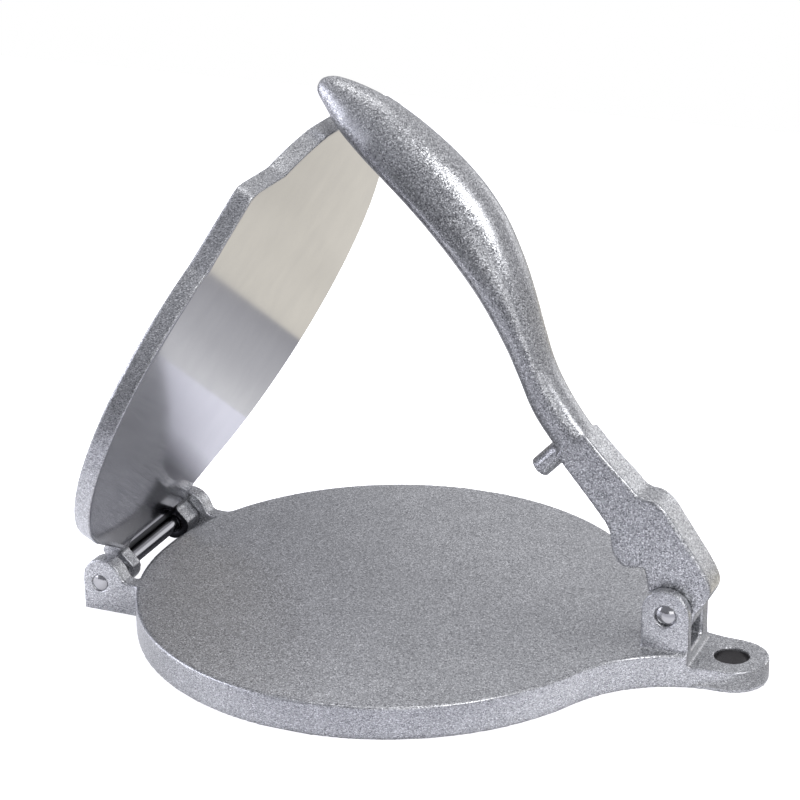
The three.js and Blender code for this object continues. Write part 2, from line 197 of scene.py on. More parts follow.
# Stage, metres and watts
TABLE_REACH = 0.6
TABLE_FRONT = 0.21
# Painted light: a glowing patch of table in front of the press that only reflections see
MIRROR_GLOW = 0.45  # lift of the table towards white where it is mirrored
POOL_WAY = (-0.3, 1.0, 0.0)
POOL_START = (-0.095, -0.072)
POOL_END = (-0.02, 0.06)
# Painted shadow: the table darkened near the hinge, seen only in reflections
HINGE_SHADE_PLACE = (-0.095, 0.03, 0.0)
HINGE_SHADE_REACH = (0.028, 0.046)
CARD_LEFT = (-0.40, 0.315, 0.001)
CARD_RIGHT = (0.40, -0.205, 0.001)
CARD_AWAY = (0.35, 0.55, 0)
ROOM_WAY = (1.0, 0.7, 1.0)
WHITE = (1.0, 1.0, 1.0, 1.0)
BLACK = (0.0, 0.0, 0.0, 1.0)
LAMP_TARGET = (0.0, 0.0, 0.06)
LAMPS = (  # name, place, width, height, power, colour, and what doesn't see it
    ("right_softbox", (0.79, -0.54, 0.69), 0.38, 0.56, 5.6, "ffffff", "visible_diffuse"),
    ("back_softbox", (0.42, 0.83, 0.26), 0.5, 0.45, 0.6, "ffffff", None),
    ("top_softbox", (0.0, 0.1, 1.2), 0.6, 0.6, 15.8, "ffffff", "visible_glossy"),
    ("edge_softbox", (-0.05, 0.0, 1.2), 0.6, 0.6, 1.1, "ffffff", "visible_diffuse"),
    ("left_softbox", (-0.9, -0.4, 0.25), 1.0, 0.5, 5.0, "f2f3ff", None),
    ("low_softbox", (0.42, -0.85, 0.02), 0.4, 0.3, 0.8, "ffffff", None),
)

# Kinds of node that come up often
MATH = "ShaderNodeMath"
VECTOR_MATH = "ShaderNodeVectorMath"
MIX = "ShaderNodeMix"
MAP_RANGE = "ShaderNodeMapRange"
NOISE = "ShaderNodeTexNoise"
SEPARATE = "ShaderNodeSeparateXYZ"
COMBINE = "ShaderNodeCombineXYZ"
COORDINATES = "ShaderNodeTexCoord"
BUMP = "ShaderNodeBump"

# Camera, metres and degrees
CAMERA_PLACE = (0.30326, -0.69628, 0.37422)
CAMERA_AZIMUTH = 23.299
CAMERA_ELEVATION = 21.511
CAMERA_ROLL = -0.748
CAMERA_LENS = 117.52


def linear(hex_colour):
    """An sRGB hex colour as linear RGBA."""
    parts = [int(hex_colour[i:i + 2], 16) / 255 for i in (0, 2, 4)]
    return (*[p / 12.92 if p <= 0.04045 else ((p + 0.055) / 1.055) ** 2.4 for p in parts], 1.0)


def add_node(tree, kind, inputs=None, stops=(), **settings):
    """A new node with its settings and links.

    An input is a value, a socket, or a node whose first output feeds it. A colour ramp's stops are
    its two ends and then those between.
    """
    node = tree.nodes.new(kind)
    for key, value in settings.items():
        setattr(node, key, value)
    for key, value in (inputs or {}).items():
        if isinstance(value, bpy.types.Node):
            value = value.outputs[0]
        if isinstance(value, bpy.types.NodeSocket):
            tree.links.new(value, node.inputs[key])
        else:
            node.inputs[key].default_value = value
    for i, (position, colour) in enumerate(stops):
        stop = node.color_ramp.elements[i] if i < 2 else node.color_ramp.elements.new(position)
        stop.position = position
        stop.color = colour
    return node


# Outlines and solids


def arc(centre, radius, start, end, steps):
    """Points on an arc between two angles in degrees, both ends included."""
    turns = [math.radians(start + (end - start) * i / steps) for i in range(steps + 1)]
    return [(centre[0] + radius * math.cos(t), centre[1] + radius * math.sin(t)) for t in turns]


def spline_point(points, t):
    """The point at t from 0 to 1 on the smooth curve through the points."""
    place = min(max(t, 0.0), 1.0) * (len(points) - 1)
    i = min(int(place), len(points) - 2)
    w = place - i
    p0, p1 = points[max(i - 1, 0)], points[i]
    p2, p3 = points[i + 1], points[min(i + 2, len(points) - 1)]
    result = []
    for a, b, c, d in zip(p0, p1, p2, p3):
        enter, leave = (c - a) / 2, (d - b) / 2
        cubic = 2 * b - 2 * c + enter + leave
        square = -3 * b + 3 * c - 2 * enter - leave
        result.append(cubic * w ** 3 + square * w ** 2 + enter * w + b)
    return tuple(result)


def spline(points, steps=30):
    """Evenly numbered points on the smooth curve through the given ones."""
    return [spline_point(points, i / steps) for i in range(steps + 1)]


def linked_object(name, mesh):
    """A new object in the scene that holds the mesh."""
    obj = bpy.data.objects.new(name, mesh)
    bpy.context.scene.collection.objects.link(obj)
    return obj


def mesh_object(name, verts, faces):
    """A closed mesh object with its faces turned outwards."""
    mesh = bpy.data.meshes.new(name)
    mesh.from_pydata(verts, [], faces)
    work = bmesh.new()
    work.from_mesh(mesh)
    bmesh.ops.remove_doubles(work, verts=work.verts, dist=1e-5)
    bmesh.ops.recalc_face_normals(work, faces=work.faces)
    bmesh.ops.triangulate(work, faces=work.faces)
    work.to_mesh(mesh)
    work.free()
    return linked_object(name, mesh)


def prism(outline, low, high, standing=False):
    """A slab over an outline in XY, or over one in XZ where it stands between two y."""
    count = len(outline)
    verts = [(x, level, v) if standing else (x, v, level) for level in (low, high) for x, v in outline]
    faces = [(i, (i + 1) % count, count + (i + 1) % count, count + i) for i in range(count)]
    faces += [tuple(range(count)), tuple(range(count, 2 * count))]
    return mesh_object("slab", verts, faces)


def rod(centre, radius, low, high, standing=False, steps=96):
    """A round bar along Z, or along Y where it stands between two y."""
    return prism(arc(centre, radius, 0, 360 * (steps - 1) / steps, steps - 1), low, high, standing)


def box(xs, ys, zs):
    """A plain block between the given corners, used to cut or to fill."""
    return prism([(xs[0], ys[0]), (xs[1], ys[0]), (xs[1], ys[1]), (xs[0], ys[1])], *zs)


def settle(obj):
    """The object's modifiers become its plain mesh."""
    graph = bpy.context.evaluated_depsgraph_get()
    mesh = bpy.data.meshes.new_from_object(obj.evaluated_get(graph))
    obj.modifiers.clear()
    old = obj.data
    obj.data = mesh
    bpy.data.meshes.remove(old)
    return obj


def cut(body, tool):
    """Takes one solid out of another and clears it away."""
    modifier = body.modifiers.new("cut", "BOOLEAN")
    modifier.operation = "DIFFERENCE"
    modifier.solver = "MANIFOLD"
    modifier.object = tool
    settle(body)
    bpy.data.objects.remove(tool)
    if not body.data.polygons:
        raise RuntimeError(f"{body.name} is empty after a cut")
    return body


def bored_slab(outline, span, x, z, radius):
    """A slab that stands between two y, bored through along Y."""
    tool_span = (span[0] - CUT, span[1] + CUT)
    tool = rod((x, z), radius, *tool_span, standing=True, steps=64)
    return cut(prism(outline, *span, standing=True), tool)


def gathered(name, parts):
    """Overlapping solids in one mesh, which the casting skin then turns to one body."""
    work = bmesh.new()
    for part in parts:
        work.from_mesh(part.data)
        bpy.data.objects.remove(part)
    mesh = bpy.data.meshes.new(name)
    work.to_mesh(mesh)
    work.free()
    return linked_object(name, mesh)


def shade_smooth(obj):
    """Smooth shading that keeps flat faces flat."""
    for polygon in obj.data.polygons:
        polygon.use_smooth = True
    obj.modifiers.new("even", "WEIGHTED_NORMAL")
    return settle(obj)


def cast_skin(obj, sizes):
    """One skin over the gathered solids, with the small rounds and fillets of a casting."""
    grain = sizes.grain / MM
    remesh = obj.modifiers.new("skin", "REMESH")
    remesh.mode = "VOXEL"
    remesh.voxel_size = grain
    smooth = obj.modifiers.new("rounds", "SMOOTH")
    smooth.factor = 0.5
    smooth.iterations = sizes.rounds
    settle(obj)
    triangles = 2 * len(obj.data.polygons)
    if triangles > MOST_TRIANGLES:
        thin = obj.modifiers.new("thin", "DECIMATE")
        thin.ratio = MOST_TRIANGLES / triangles
        settle(obj)
    return shade_smooth(obj)


def finish_piece(obj, name, material, body, slot, *nodes):
    """Names a piece, gives it its finish and hands it to the frame in metres."""
    obj.name = name
    obj.data.name = name
    obj.data.transform(Matrix.Scale(MM, 4))
    obj.data.materials.clear()
    obj.data.materials.append(material)
    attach(obj, body)
    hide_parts(*nodes)
    return obj


# Materials


def emptied_tree(owner):
    """The emptied node tree of a material or of the world."""
    owner.use_nodes = True
    owner.node_tree.nodes.clear()
    return owner.node_tree


def new_material(name):
    """A new material, its empty tree, and the piece's own coordinates."""
    material = bpy.data.materials.new(name)
    tree = emptied_tree(material)
    return material, tree, add_node(tree, COORDINATES).outputs["Object"]


def close_material(tree, inputs):
    """Ends a material in its Principled shader."""
    shader = add_node(tree, "ShaderNodeBsdfPrincipled", inputs)
    add_node(tree, "ShaderNodeOutputMaterial", {"Surface": shader})


def all_hold(tree, *tests):
    """1 where every test holds: a value, LESS_THAN or GREATER_THAN, and its limit."""
    mask = 1.0
    for value, operation, limit in tests:
        test = add_node(tree, MATH, {0: value, 1: limit}, operation=operation)
        mask = add_node(tree, MATH, {0: test, 1: mask}, operation="MULTIPLY")
    return mask


def flake_coat(tree, place, finish, squash, lean):
    """Colour, roughness and normal of a baked coat full of aluminium flakes."""
    squat = add_node(tree, "ShaderNodeMapping", {0: place, "Scale": (1.0, 1.0, squash)})
    flakes = add_node(tree, "ShaderNodeTexVoronoi", {"Vector": squat, "Scale": 1 / finish.flake_size})
    scatter = flakes.outputs["Color"]
    picked = add_node(tree, "ShaderNodeSeparateColor", {0: scatter})
    tone = add_node(tree, "ShaderNodeValToRGB", {0: picked}, stops=(
        (0.0, finish.flake_dark), (1.0, finish.flake_bright), (0.4, finish.coat_colour),
        (0.68, finish.coat_colour), (0.86, finish.flake_light)))
    cloud = add_node(tree, NOISE, {"Vector": place, "Scale": 1 / (COAT_CLOUD * MM), "Detail": 3.0})
    shade = add_node(tree, MAP_RANGE, {0: cloud, 1: 0.3, 2: 0.7, 3: 0.95, 4: 1.05})
    colour = add_node(tree, VECTOR_MATH, {0: tone, 1: shade}, operation="MULTIPLY")
    rough = add_node(tree, MAP_RANGE, {
        0: picked.outputs[1], 3: finish.coat_roughness - COAT_SPREAD,
        4: finish.coat_roughness + COAT_SPREAD})
    peel = add_node(tree, NOISE, {"Vector": place, "Scale": 1 / (PEEL_WIDTH * MM), "Detail": 2.0})
    bump = add_node(tree, BUMP, {
        "Strength": PEEL_STRENGTH, "Distance": PEEL_HEIGHT * MM, "Height": peel})
    spread = add_node(tree, VECTOR_MATH, {0: scatter, 1: (0.5, 0.5, 0.5)}, operation="SUBTRACT")
    tilt = add_node(tree, VECTOR_MATH, {0: spread, "Scale": lean}, operation="SCALE")
    turned = add_node(tree, VECTOR_MATH, {0: bump, 1: tilt}, operation="ADD")
    normal = add_node(tree, VECTOR_MATH, {0: turned}, operation="NORMALIZE")
    return colour, rough, normal


def coated_casting(finish, squash, lean, bore=None):
    """Cast aluminium under a grey hammertone coat; the wall of a bore at the given x is painted dark as
    shade.
    """
    # Flakes in baked resin: a silver grain that glints point by point, under a thin clear gloss
    material, tree, place = new_material("hammertone_flake_coat_on_cast_aluminium")
    colour, rough, normal = flake_coat(tree, place, finish, squash, lean)
    if bore is not None:
        # Painted shade: the hanging hole's wall below the tab top is coloured dark where shade falls
        # inside it
        flat = add_node(tree, VECTOR_MATH, {
            0: place, 1: (1.0, 1.0, 0.0), 2: (-bore * MM, 0.0, 0.0)}, operation="MULTIPLY_ADD")
        radius = add_node(tree, VECTOR_MATH, {0: flat}, operation="LENGTH").outputs["Value"]
        inside = add_node(tree, MAP_RANGE, {
            0: radius, 1: (TAB_HOLE_RADIUS + 0.1) * MM, 2: (TAB_HOLE_RADIUS + 0.4) * MM, 3: 1, 4: 0})
        height = add_node(tree, SEPARATE, {0: place}).outputs[2]
        below = add_node(tree, MAP_RANGE, {
            0: height, 1: (TAB_HEIGHT - 1.2) * MM, 2: (TAB_HEIGHT - 0.6) * MM, 3: 1, 4: 0})
        share = add_node(tree, MATH, {0: inside, 1: below}, operation="MULTIPLY")
        colour = add_node(tree, MIX, {
            0: share, 6: colour, 7: finish.bore_shade_colour}, data_type="RGBA").outputs[2]
    close_material(tree, {
        "Base Color": colour, "Roughness": rough, "Normal": normal, "Metallic": COAT_METALLIC,
        "Coat Weight": finish.lacquer, "Coat Roughness": CLEAR_ROUGHNESS})
    return material


def lid_finish(finish):
    """The flake coat, the bare pressing face, and painted shade on the heel between the hinge arms."""
    # Lathe-faced aluminium: a soft mirror with the faintest rings, cloudy where it was wiped
    material, tree, place = new_material("flake_coat_and_lathe_faced_aluminium")
    colour, rough, normal = flake_coat(tree, place, finish, FLAKE_SQUASH, FLAKE_TILT)
    angle = math.radians(LID_OPEN_ANGLE)
    up = Vector((-math.sin(angle), 0, math.cos(angle)))
    along = Vector((math.cos(angle), 0, math.sin(angle)))
    hinge = Vector((HINGE_X, 0, HINGE_Z)) * MM
    centre = hinge + along * (LID_CENTRE_X - HINGE_X) * MM + up * (LID_FACE_Z - HINGE_Z) * MM
    away = add_node(tree, VECTOR_MATH, {0: place, 1: centre}, operation="SUBTRACT")
    height, reach = [
        add_node(tree, VECTOR_MATH, {0: away, 1: way}, operation="DOT_PRODUCT").outputs["Value"]
        for way in (up, along)]
    side = add_node(tree, SEPARATE, {0: place}).outputs[1]
    end = (FACE_END_X - LID_CENTRE_X) * MM
    face = all_hold(tree, (height, "LESS_THAN", FACE_EDGE * MM), (reach, "GREATER_THAN", end))
    # Painted shade: the heel and the arms' inner faces between the hinge arms are coloured near black
    # where shade falls
    heel = all_hold(
        tree, (height, "LESS_THAN", HEEL_SHADE_HEIGHT * MM), (reach, "LESS_THAN", end),
        (side, "GREATER_THAN", (FRONT_ARM_Y[1] - ARM_MARGIN) * MM),
        (side, "LESS_THAN", (BACK_ARM_Y[0] + ARM_MARGIN) * MM))
    colour = add_node(tree, MIX, {
        0: heel, 6: colour, 7: finish.heel_shade_colour}, data_type="RGBA").outputs[2]
    radius = add_node(tree, VECTOR_MATH, {0: away}, operation="LENGTH").outputs["Value"]
    rings = add_node(tree, NOISE, {
        "W": radius, "Scale": 1 / (LATHE_RING * MM), "Detail": 2.0}, noise_dimensions="1D")
    smear = add_node(tree, NOISE, {"Vector": place, "Scale": 1 / (FACE_CLOUD * MM), "Detail": 3.0})
    metal = add_node(tree, MIX, {
        0: smear, 6: finish.face_dark, 7: finish.face_light}, data_type="RGBA").outputs[2]
    shine = add_node(tree, MAP_RANGE, {
        0: rings, 1: 0.3, 2: 0.7, 3: finish.face_roughness - 0.03, 4: finish.face_roughness + 0.05})
    groove = add_node(tree, BUMP, {"Strength": 0.25, "Distance": LATHE_DEPTH * MM, "Height": rings})
    inputs = {"Metallic": add_node(tree, MAP_RANGE, {0: face, 3: COAT_METALLIC, 4: 1.0})}
    for socket, coat, bare, kind, (first, second, result) in (
            ("Base Color", colour, metal, "RGBA", (6, 7, 2)),
            ("Roughness", rough, shine, "FLOAT", (2, 3, 0)),
            ("Normal", normal, groove, "VECTOR", (4, 5, 1))):
        mixed = add_node(tree, MIX, {0: face, first: coat, second: bare}, data_type=kind)
        inputs[socket] = mixed.outputs[result]
    close_material(tree, inputs)
    return material


def drawn_steel(finish, low, high):
    """Drawn steel rod along Y; its ends, near the two y, are paler, and its shaft holds painted shade.
    """
    # Drawn steel: grey and fairly bright, with faint lines along the rod; the shaft is painted a little
    # darker than the paler ends as painted shade
    material, tree, place = new_material("drawn_steel_rod")
    squeezed = add_node(tree, "ShaderNodeMapping", {0: place, "Scale": (1.0, DRAWN_STRETCH, 1.0)})
    lines = add_node(tree, NOISE, {"Vector": squeezed, "Scale": 1 / (DRAWN_LINE * MM), "Detail": 3.0})
    shine = add_node(tree, MAP_RANGE, {
        0: lines, 1: 0.3, 2: 0.7, 3: STEEL_ROUGHNESS[0], 4: STEEL_ROUGHNESS[1]})
    middle, half = (low + high) / 2 * MM, (high - low) / 2 * MM
    along = add_node(tree, SEPARATE, {0: place}).outputs[1]
    away = add_node(tree, MATH, {0: along, 1: middle}, operation="SUBTRACT")
    reach = add_node(tree, MATH, {0: away}, operation="ABSOLUTE")
    end = add_node(tree, MAP_RANGE, {
        0: reach, 1: half - PALE_END[0] * MM, 2: half - PALE_END[1] * MM})
    colour = add_node(tree, MIX, {
        0: end, 6: finish.shaded_shaft_steel, 7: finish.steel_light}, data_type="RGBA").outputs[2]
    groove = add_node(tree, BUMP, {"Strength": 0.2, "Distance": DRAWN_DEPTH * MM, "Height": lines})
    close_material(tree, {
        "Base Color": colour, "Roughness": shine, "Normal": groove, "Metallic": 1.0,
        "Specular Tint": finish.shaded_shaft_steel})
    return material


# Geometry node trees


def new_tree(name, sockets):
    """A geometry tree with its named inputs, its input node and each input's identifier."""
    tree = bpy.data.node_groups.new(name, "GeometryNodeTree")
    tree.interface.new_socket("Geometry", in_out="INPUT", socket_type="NodeSocketGeometry")
    identifiers = {}
    for label, kind in sockets:
        socket = tree.interface.new_socket(label, in_out="INPUT", socket_type=f"NodeSocket{kind}")
        identifiers[label] = socket.identifier
    tree.interface.new_socket("Geometry", in_out="OUTPUT", socket_type="NodeSocketGeometry")
    return tree, add_node(tree, "NodeGroupInput").outputs, identifiers


def close_tree(tree, geometry, material):
    """Ends a tree in Realize Instances and Set Material."""
    real = add_node(tree, "GeometryNodeRealizeInstances", {0: geometry})
    painted = add_node(tree, "GeometryNodeSetMaterial", {"Geometry": real, "Material": material})
    add_node(tree, "NodeGroupOutput", {0: painted})


def grown(obj, tree, identifiers, values):
    """Runs a tree on an object with the given inputs and keeps the result as its plain mesh."""
    modifier = obj.modifiers.new("grow", "NODES")
    modifier.node_group = tree
    for label, value in values.items():
        modifier[identifiers[label]] = value
    return settle(obj)


def rib_tree(material):
    """Crossing ribs and a hub: one straight bar, repeated round the middle."""
    tree, given, identifiers = new_tree("crossing_ribs", [
        ("Ribs", "Int"), ("Length", "Float"), ("Thickness", "Float"), ("Height", "Float"),
        ("Hub radius", "Float"), ("First angle", "Float")])
    size = add_node(tree, COMBINE, {0: given["Length"], 1: given["Thickness"], 2: given["Height"]})
    bar = add_node(tree, "GeometryNodeMeshCube", {"Size": size})
    seats = add_node(tree, "GeometryNodePoints", {"Count": given["Ribs"]})
    step = add_node(tree, MATH, {0: math.pi, 1: given["Ribs"]}, operation="DIVIDE")
    index = add_node(tree, "GeometryNodeInputIndex")
    turn = add_node(tree, MATH, {0: index, 1: step, 2: given["First angle"]}, operation="MULTIPLY_ADD")
    spin = add_node(tree, COMBINE, {2: turn})
    placed = add_node(tree, "GeometryNodeInstanceOnPoints", {
        "Points": seats, "Instance": bar, "Rotation": spin})
    hub = add_node(tree, "GeometryNodeMeshCylinder", {
        "Vertices": 64, "Radius": given["Hub radius"], "Depth": given["Height"]})
    whole = add_node(tree, "GeometryNodeJoinGeometry", {0: placed})
    tree.links.new(hub.outputs[0], whole.inputs[0])
    half = add_node(tree, MATH, {0: given["Height"], 1: 0.5}, operation="MULTIPLY")
    lift = add_node(tree, COMBINE, {2: half})
    raised = add_node(tree, "GeometryNodeTransform", {"Geometry": whole, "Translation": lift})
    close_tree(tree, raised, material)
    return tree, identifiers


def loft_tree(material):
    """A closed skin over numbered stations: at each, an oval between a crown and a keel point."""
    tree, given, identifiers = new_tree("oval_loft", [
        ("Stations", "Int"), ("Around", "Int"), ("Middle y", "Float")])
    columns = add_node(tree, MATH, {0: given["Around"], 1: 1.0}, operation="ADD")
    grid = add_node(tree, "GeometryNodeMeshGrid", {
        "Size X": 1.0, "Size Y": 1.0, "Vertices X": given["Stations"], "Vertices Y": columns})
    position = add_node(tree, "GeometryNodeInputPosition")
    spot = add_node(tree, SEPARATE, {0: position}).outputs
    last = add_node(tree, MATH, {0: given["Stations"], 1: 1.0}, operation="SUBTRACT")
    ahead = add_node(tree, MATH, {0: spot[0], 1: 0.5}, operation="ADD")
    station = add_node(tree, MATH, {0: ahead, 1: last}, operation="MULTIPLY")
    number = add_node(tree, MATH, {0: station}, operation="ROUND")
    turn = add_node(tree, MATH, {0: spot[1], 1: 2 * math.pi}, operation="MULTIPLY")
    held = {}
    for label, kind in (("crown", "FLOAT_VECTOR"), ("keel", "FLOAT_VECTOR"), ("half_width", "FLOAT"),
                        ("power", "FLOAT"), ("share", "FLOAT")):
        value = add_node(tree, "GeometryNodeInputNamedAttribute", {"Name": label}, data_type=kind)
        held[label] = add_node(tree, "GeometryNodeSampleIndex", {
            "Geometry": given["Geometry"], "Value": value, "Index": number}, data_type=kind)
    swell = []
    cosine, sine = [add_node(tree, MATH, {0: turn}, operation=wave) for wave in ("COSINE", "SINE")]
    for wave in (cosine, sine):
        size = add_node(tree, MATH, {0: wave}, operation="ABSOLUTE")
        swell.append(add_node(tree, MATH, {0: size, 1: held["power"]}, operation="POWER"))
    sign = add_node(tree, MATH, {0: cosine}, operation="SIGN")
    side = add_node(tree, MATH, {0: sign, 1: swell[0]}, operation="MULTIPLY")
    reach = add_node(tree, MATH, {
        0: side, 1: held["half_width"], 2: given["Middle y"]}, operation="MULTIPLY_ADD")
    upper = add_node(tree, MATH, {0: sine, 1: 0.0}, operation="GREATER_THAN")
    middle, target = [
        add_node(tree, MIX, {
            0: share, 4: held["keel"], 5: held["crown"]}, data_type="VECTOR").outputs[1]
        for share in (held["share"], upper)]
    ring = add_node(tree, MIX, {0: swell[1], 4: middle, 5: target}, data_type="VECTOR")
    across = add_node(tree, COMBINE, {1: reach})
    point = add_node(tree, VECTOR_MATH, {0: ring.outputs[1], 1: across}, operation="ADD")
    skin = add_node(tree, "GeometryNodeSetPosition", {"Geometry": grid, "Position": point})
    closed = add_node(tree, "GeometryNodeMergeByDistance", {"Geometry": skin, "Distance": 1e-4})
    close_tree(tree, closed, material)
    return tree, identifiers


# Base casting


def plate_outline(back_side):
    """The disc, a concave fillet on both sides of the neck, and the round end of the tab."""
    fillets = []
    for side in (TAB_RADIUS, back_side):
        reach = TAB_CENTRE_X ** 2 + side ** 2 - PLATE_RADIUS ** 2
        radius = reach / (2 * (PLATE_RADIUS - side))
        fillets.append((radius, side + radius, math.degrees(math.atan2(side + radius, TAB_CENTRE_X))))
    (front_radius, front_y, front_meet), (back_radius, back_y, back_meet) = fillets
    end_y, end_radius = (back_side - TAB_RADIUS) / 2, (TAB_RADIUS + back_side) / 2
    points = arc((0, 0), PLATE_RADIUS, back_meet, 360 - front_meet, 220)
    points += arc((TAB_CENTRE_X, -front_y), front_radius, 180 - front_meet, 90, 30)[1:]
    points += arc((TAB_CENTRE_X, end_y), end_radius, -90, 90, 48)[1:]
    points += arc((TAB_CENTRE_X, back_y), back_radius, -90, -180 + back_meet, 30)[1:-1]
    return points


def hinge_ear(span, web_top):
    """One ear of the lid hinge with the web that ties it to the disc, bored for the pin."""
    right = HINGE_EAR_LEFT + 2 * HINGE_EAR_RADIUS
    outline = [(HINGE_EAR_WEB_X, 0), (HINGE_EAR_WEB_X, web_top)]
    outline += [(right + x, web_top + z) for x, z in HINGE_EAR_FILLET]
    middle = (right - HINGE_EAR_RADIUS, HINGE_EAR_CENTRE_Z)
    outline += arc(middle, HINGE_EAR_RADIUS, HINGE_EAR_START_ANGLE, 180, 40)
    outline += [(HINGE_EAR_LEFT, 0)]
    return bored_slab(outline, span, HINGE_X, HINGE_Z, HINGE_HOLE_RADIUS)


def clevis_cheek(span):
    """One cheek of the lever's clevis, bored for the pivot pin."""
    foot = PLATE_HEIGHT - CLEVIS_SINK
    outline = [(PIVOT_X - CLEVIS_HALF_WIDTH, foot), (PIVOT_X + CLEVIS_HALF_WIDTH, foot)]
    outline += arc((PIVOT_X, CLEVIS_CENTRE_Z), CLEVIS_HALF_WIDTH, 0, 180, 48)
    return bored_slab(outline, span, PIVOT_X, PIVOT_Z, PIVOT_HOLE_RADIUS)


def make_base(sizes, finish):
    """The base casting: plate, neck, tab, hinge ears, clevis cheeks and the ribbed hollow below."""
    coat = coated_casting(finish, FLAKE_SQUASH, FLAKE_TILT, TAB_CENTRE_X)
    low = prism(plate_outline(TAB_RADIUS), 0, TAB_HEIGHT)
    cut(low, rod((TAB_CENTRE_X, 0), TAB_HOLE_RADIUS, -CUT, TAB_HEIGHT + CUT))
    high = prism(plate_outline(TAB_RADIUS - NECK_BACK_SHIFT), 0, PLATE_HEIGHT)
    cut(high, box(*NECK_CUT))
    roof = PLATE_HEIGHT - SKIN_THICKNESS
    bore = PLATE_RADIUS - RIM_WALL
    for slab in (low, high):
        cut(slab, rod((0, 0), bore, -CUT, roof, steps=180))
    ribs = mesh_object("ribs", [(0, 0, 0)], [])
    tree, identifiers = rib_tree(coat)
    grown(ribs, tree, identifiers, {
        "Ribs": sizes.rib_count, "Length": 2 * (bore + RIB_OVERLAP),
        "Thickness": sizes.rib_thickness / MM, "Height": roof + RIB_SINK,
        "Hub radius": HUB_RADIUS, "First angle": math.radians(RIB_FIRST_ANGLE)})
    parts = [
        low, high, ribs, hinge_ear(FRONT_EAR_Y, PLATE_HEIGHT),
        hinge_ear(BACK_EAR_Y, PLATE_HEIGHT - BACK_WEB_DROP), clevis_cheek(FRONT_CHEEK_Y),
        clevis_cheek(BACK_CHEEK_Y)]
    base = cast_skin(gathered("base", parts), sizes)
    return finish_piece(base, "press_base", coat, "base", "coated_casting", "base_casting")


# Lid casting


def lid_outline():
    """The disc with a finger lug at each side, a flat toe for the lever and a flare at the hinge."""
    outer, inner, heel, toe = [
        math.degrees(math.acos((x - LID_CENTRE_X) / LID_RADIUS))
        for x in (LUG_START_X, LUG_SIDE_X, HEEL_FLARE_START_X, LID_TOE_X)]
    corner = Vector((LUG_SIDE_X, LUG_TIP_Y))
    start = Vector((LUG_START_X, LID_RADIUS * math.sin(math.radians(outer))))
    before = corner + (start - corner).normalized() * LUG_CORNER_RADIUS
    after = corner - Vector((0, LUG_CORNER_RADIUS))
    bend = []
    for i in range(LUG_CORNER_STEPS + 1):
        t = i / LUG_CORNER_STEPS
        bend.append(tuple((1 - t) ** 2 * before + 2 * t * (1 - t) * corner + t ** 2 * after))
    middle = (LID_CENTRE_X, 0)
    points = arc(middle, LID_RADIUS, outer, heel, 80)
    points += [HEEL_FLARE, (HEEL_FLARE[0], -HEEL_FLARE[1])]
    points += arc(middle, LID_RADIUS, 360 - heel, 360 - outer, 80)
    points += [(x, -y) for x, y in bend]
    points += arc(middle, LID_RADIUS, -inner, -toe, 30)
    points += arc(middle, LID_RADIUS, toe, inner, 30)
    points += bend[::-1]
    return points


def lid_arm(span):
    """One hinge arm: round about the pin, flat towards the plate, rising into the heel bar."""
    top = LID_FACE_Z + LID_THICKNESS - ARM_DROP
    half = math.degrees(math.acos(ARM_FLAT / ARM_RADIUS))
    root = HEEL_BAR_X + ARM_ROOT
    flat = 360 - ARM_FLAT_TILT
    outline = [(root, LID_FACE_Z + ARM_FACE_GAP), (root, top), (HEEL_BAR_X + ARM_SHOULDER, top)]
    outline += arc((HINGE_X, HINGE_Z), ARM_RADIUS, ARM_START_ANGLE, flat - half, 48)
    outline += arc((HINGE_X, HINGE_Z), ARM_RADIUS, flat + half, flat + half, 1)[:1]
    return bored_slab(outline, span, HINGE_X, HINGE_Z, LID_BORE_RADIUS)


def make_lid(sizes, finish):
    """The lid casting, made closed and then turned up about the hinge pin."""
    top = LID_FACE_Z + LID_THICKNESS
    plate = prism(lid_outline(), LID_FACE_Z, top)
    cut(plate, rod((0, 0), LID_RADIUS - LID_RIM_BAND, top - LID_BACK_DEPTH, top + CUT, steps=180))
    spine_end, spine_side = LID_RADIUS - SPINE_INSET, SPINE_WIDTH / 2
    parts = [
        plate, box((-spine_end, spine_end), (-spine_side, spine_side), (top - SPINE_DEPTH, top)),
        box((HEEL_BAR_END_X, HEEL_ROOT_X), HEEL_BAR_Y, (LID_FACE_Z, top - HEEL_BAR_DROP)),
        prism(HEEL_LIP, *HEEL_BAR_Y, standing=True), lid_arm(FRONT_ARM_Y), lid_arm(BACK_ARM_Y)]
    lid = cast_skin(gathered("lid", parts), sizes)
    hinge = Vector((HINGE_X, 0, HINGE_Z))
    turn = Matrix.Rotation(-math.radians(LID_OPEN_ANGLE), 4, "Y")
    lid.data.transform(Matrix.Translation(hinge) @ turn @ Matrix.Translation(-hinge))
    return finish_piece(lid, "press_lid", lid_finish(finish), "lid", "coated_casting", "lid_casting")


# Lever casting


def lever_foot():
    """The flat-sided foot: shoulder, heel, pivot boss, notch and cam nose, bored for the pin."""
    outline = spline(SHOULDER_LINE) + spline(HEEL_LINE)
    outline += arc((0, 0), LEVER_BOSS_RADIUS, 0, -216, 60) + NOTCH_LINE
    outline += spline(NOSE_LINE) + NOSE_END
    placed = [(PIVOT_X + x, PIVOT_Z + z) for x, z in outline]
    span = (LEVER_MIDDLE_Y - LEVER_HALF_THICKNESS, LEVER_MIDDLE_Y + LEVER_HALF_THICKNESS)
    return bored_slab(placed, span, PIVOT_X, PIVOT_Z, LEVER_BORE_RADIUS)


